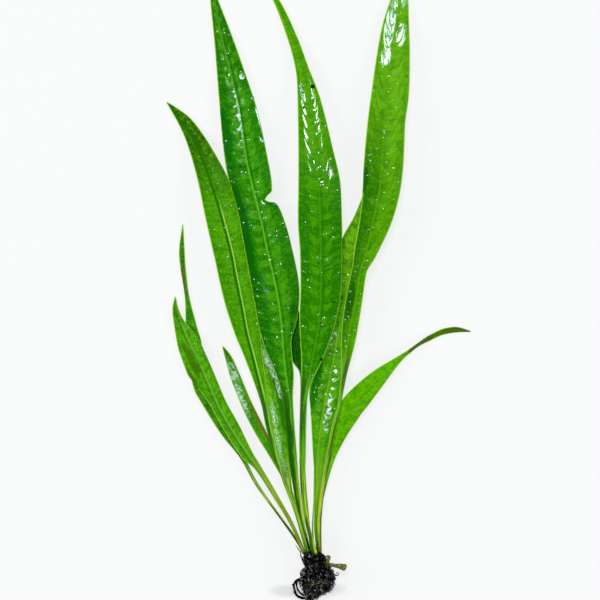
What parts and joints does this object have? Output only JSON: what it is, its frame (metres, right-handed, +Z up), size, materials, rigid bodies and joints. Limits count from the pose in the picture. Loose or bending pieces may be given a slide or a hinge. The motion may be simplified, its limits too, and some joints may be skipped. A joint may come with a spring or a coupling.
{
  "type": "java fern",
  "caption": "Bare-rooted aquarium fern lying flat: long lance-shaped green fronds that fan out on thin stalks from a short rhizome in a ball of dark wiry roots.",
  "frame": {"origin": "middle of the flat patch under the root mass, on the surface that the plant lies on", "axes": "+Y from the roots along the fronds, +Z up from the surface that the plant lies on"},
  "size_m": [0.1524, 0.3233, 0.0145],
  "materials": {
    "leaf_dark": "wet, glossy, dark green",
    "leaf_mid": "wet, glossy, mid green",
    "leaf_light": "wet, glossy, yellow green",
    "rhizome": "scaly, dark brown to olive",
    "roots": "wet, wiry, nearly black"
  },
  "bodies": {
    "root": {"frond_tall_left": "leaf_dark", "frond_tall_centre": "leaf_mid", "frond_tall_right": "leaf_light", "frond_back_right": "leaf_mid", "frond_left": "leaf_mid", "frond_low_left": "leaf_dark", "frond_far_left_front": "leaf_mid", "frond_far_left_back": "leaf_dark", "frond_short_left": "leaf_dark", "frond_curved_right": "leaf_light", "frond_back_centre": "leaf_dark", "frond_young": "leaf_light", "rhizome": "rhizome", "root_mass": "roots"}
  },
  "joints": []
}
